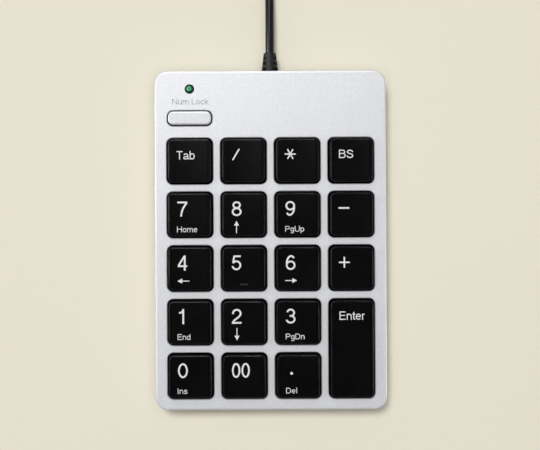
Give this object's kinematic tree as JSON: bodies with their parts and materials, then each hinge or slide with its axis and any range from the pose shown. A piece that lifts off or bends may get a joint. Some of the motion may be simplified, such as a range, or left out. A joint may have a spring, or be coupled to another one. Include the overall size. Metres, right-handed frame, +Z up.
{
  "type": "numeric keypad",
  "caption": "Slim wired numeric keypad: dished keys sliding in a slab housing, a double-height enter key on a wire stabiliser, a lock button, a lamp and a coiled USB cord.",
  "frame": {"origin": "centre of the housing's outline on the table surface, under the rubber feet", "axes": "+X to the right as the user sees the keys, +Y to the rear where the cord leaves, +Z up"},
  "size_m": [0.082, 0.2166, 0.0148],
  "materials": {
    "black_cover": "fine moulded texture",
    "silver_paint": "silver metallic lacquer on plastic",
    "zinc_screw": "zinc plated",
    "foot_rubber": "matt",
    "plain_steel": "rolled",
    "contact_film": "clear polyester",
    "spacer_film": "clear polyester",
    "dome_rubber": "matt silicone",
    "frame_plastic": "satin",
    "board_green": "solder mask",
    "chip_black": "satin",
    "header_white": "satin",
    "wire_insulation": "satin",
    "clamp_plastic": "satin",
    "lamp_green": "clear green resin",
    "spring_wire": "drawn wire",
    "cord_black": "soft satin vinyl",
    "tie_black": "satin",
    "plug_steel": "nickel plated",
    "contact_gold": "gold plated",
    "key_black": "fine textured satin"
  },
  "bodies": {
    "housing": {"bottom_cover": "black_cover", "top_cover": "silver_paint", "case_screws": "zinc_screw", "rubber_feet": "foot_rubber", "steel_plate": "plain_steel", "film_lower": "contact_film", "film_spacer": "spacer_film", "film_upper": "contact_film", "dome_sheet": "dome_rubber", "key_frame": "frame_plastic", "circuit_board": "board_green", "controller_chip": "chip_black", "wire_header": "header_white", "inner_wires": "wire_insulation", "tail_clamp": "clamp_plastic", "clamp_screws": "zinc_screw", "indicator_lamp": "lamp_green", "strain_relief": "cord_black", "cord_lead": "cord_black", "cord_coil": "cord_black", "cord_tie": "tie_black", "cord_tail": "cord_black", "usb_grip": "cord_black", "usb_shell": "plug_steel", "usb_tongue": "header_white", "usb_contacts": "contact_gold"},
    "key_tab": {"key_tab": "key_black"},
    "key_divide": {"key_divide": "key_black"},
    "key_multiply": {"key_multiply": "key_black"},
    "key_backspace": {"key_backspace": "key_black"},
    "key_7": {"key_7": "key_black"},
    "key_8": {"key_8": "key_black"},
    "key_9": {"key_9": "key_black"},
    "key_minus": {"key_minus": "key_black"},
    "key_4": {"key_4": "key_black"},
    "key_5": {"key_5": "key_black"},
    "key_6": {"key_6": "key_black"},
    "key_plus": {"key_plus": "key_black"},
    "key_1": {"key_1": "key_black"},
    "key_2": {"key_2": "key_black"},
    "key_3": {"key_3": "key_black"},
    "key_enter": {"key_enter": "key_black"},
    "key_0": {"key_0": "key_black"},
    "key_00": {"key_00": "key_black"},
    "key_decimal": {"key_decimal": "key_black"},
    "lock_button": {"lock_button": "silver_paint"},
    "enter_stabiliser": {"enter_stabiliser": "spring_wire"}
  },
  "joints": [
    {"name": "key_tab_press", "type": "slide", "parent": "housing", "child": "key_tab", "axis": [0, 0, -1], "range_m": [0, 0.0022], "stiffness_N_per_m": 230, "springref_m": -0.0005, "deforming": ["dome_sheet"]},
    {"name": "key_divide_press", "type": "slide", "parent": "housing", "child": "key_divide", "axis": [0, 0, -1], "range_m": [0, 0.0022], "stiffness_N_per_m": 230, "springref_m": -0.0005, "deforming": ["dome_sheet"]},
    {"name": "key_multiply_press", "type": "slide", "parent": "housing", "child": "key_multiply", "axis": [0, 0, -1], "range_m": [0, 0.0022], "stiffness_N_per_m": 230, "springref_m": -0.0005, "deforming": ["dome_sheet"]},
    {"name": "key_backspace_press", "type": "slide", "parent": "housing", "child": "key_backspace", "axis": [0, 0, -1], "range_m": [0, 0.0022], "stiffness_N_per_m": 230, "springref_m": -0.0005, "deforming": ["dome_sheet"]},
    {"name": "key_7_press", "type": "slide", "parent": "housing", "child": "key_7", "axis": [0, 0, -1], "range_m": [0, 0.0022], "stiffness_N_per_m": 230, "springref_m": -0.0005, "deforming": ["dome_sheet"]},
    {"name": "key_8_press", "type": "slide", "parent": "housing", "child": "key_8", "axis": [0, 0, -1], "range_m": [0, 0.0022], "stiffness_N_per_m": 230, "springref_m": -0.0005, "deforming": ["dome_sheet"]},
    {"name": "key_9_press", "type": "slide", "parent": "housing", "child": "key_9", "axis": [0, 0, -1], "range_m": [0, 0.0022], "stiffness_N_per_m": 230, "springref_m": -0.0005, "deforming": ["dome_sheet"]},
    {"name": "key_minus_press", "type": "slide", "parent": "housing", "child": "key_minus", "axis": [0, 0, -1], "range_m": [0, 0.0022], "stiffness_N_per_m": 230, "springref_m": -0.0005, "deforming": ["dome_sheet"]},
    {"name": "key_4_press", "type": "slide", "parent": "housing", "child": "key_4", "axis": [0, 0, -1], "range_m": [0, 0.0022], "stiffness_N_per_m": 230, "springref_m": -0.0005, "deforming": ["dome_sheet"]},
    {"name": "key_5_press", "type": "slide", "parent": "housing", "child": "key_5", "axis": [0, 0, -1], "range_m": [0, 0.0022], "stiffness_N_per_m": 230, "springref_m": -0.0005, "deforming": ["dome_sheet"]},
    {"name": "key_6_press", "type": "slide", "parent": "housing", "child": "key_6", "axis": [0, 0, -1], "range_m": [0, 0.0022], "stiffness_N_per_m": 230, "springref_m": -0.0005, "deforming": ["dome_sheet"]},
    {"name": "key_plus_press", "type": "slide", "parent": "housing", "child": "key_plus", "axis": [0, 0, -1], "range_m": [0, 0.0022], "stiffness_N_per_m": 230, "springref_m": -0.0005, "deforming": ["dome_sheet"]},
    {"name": "key_1_press", "type": "slide", "parent": "housing", "child": "key_1", "axis": [0, 0, -1], "range_m": [0, 0.0022], "stiffness_N_per_m": 230, "springref_m": -0.0005, "deforming": ["dome_sheet"]},
    {"name": "key_2_press", "type": "slide", "parent": "housing", "child": "key_2", "axis": [0, 0, -1], "range_m": [0, 0.0022], "stiffness_N_per_m": 230, "springref_m": -0.0005, "deforming": ["dome_sheet"]},
    {"name": "key_3_press", "type": "slide", "parent": "housing", "child": "key_3", "axis": [0, 0, -1], "range_m": [0, 0.0022], "stiffness_N_per_m": 230, "springref_m": -0.0005, "deforming": ["dome_sheet"]},
    {"name": "key_enter_press", "type": "slide", "parent": "housing", "child": "key_enter", "axis": [0, 0, -1], "range_m": [0, 0.0022], "stiffness_N_per_m": 230, "springref_m": -0.0005, "deforming": ["dome_sheet"]},
    {"name": "key_0_press", "type": "slide", "parent": "housing", "child": "key_0", "axis": [0, 0, -1], "range_m": [0, 0.0022], "stiffness_N_per_m": 230, "springref_m": -0.0005, "deforming": ["dome_sheet"]},
    {"name": "key_00_press", "type": "slide", "parent": "housing", "child": "key_00", "axis": [0, 0, -1], "range_m": [0, 0.0022], "stiffness_N_per_m": 230, "springref_m": -0.0005, "deforming": ["dome_sheet"]},
    {"name": "key_decimal_press", "type": "slide", "parent": "housing", "child": "key_decimal", "axis": [0, 0, -1], "range_m": [0, 0.0022], "stiffness_N_per_m": 230, "springref_m": -0.0005, "deforming": ["dome_sheet"]},
    {"name": "lock_button_press", "type": "slide", "parent": "housing", "child": "lock_button", "axis": [0, 0, -1], "range_m": [0, 0.0008], "stiffness_N_per_m": 400, "springref_m": -0.0003, "deforming": ["dome_sheet"]},
    {"name": "enter_stabiliser_turn", "type": "hinge", "parent": "housing", "child": "enter_stabiliser", "pos_m": [0.0334, -0.0384, 0.0081], "axis": [0, -1, 0], "range_deg": [0, 21.13]}
  ],
  "couplings": [
    {"joint": "enter_stabiliser_turn", "follows": "key_enter_press", "rad_per_m": 167.6}
  ]
}
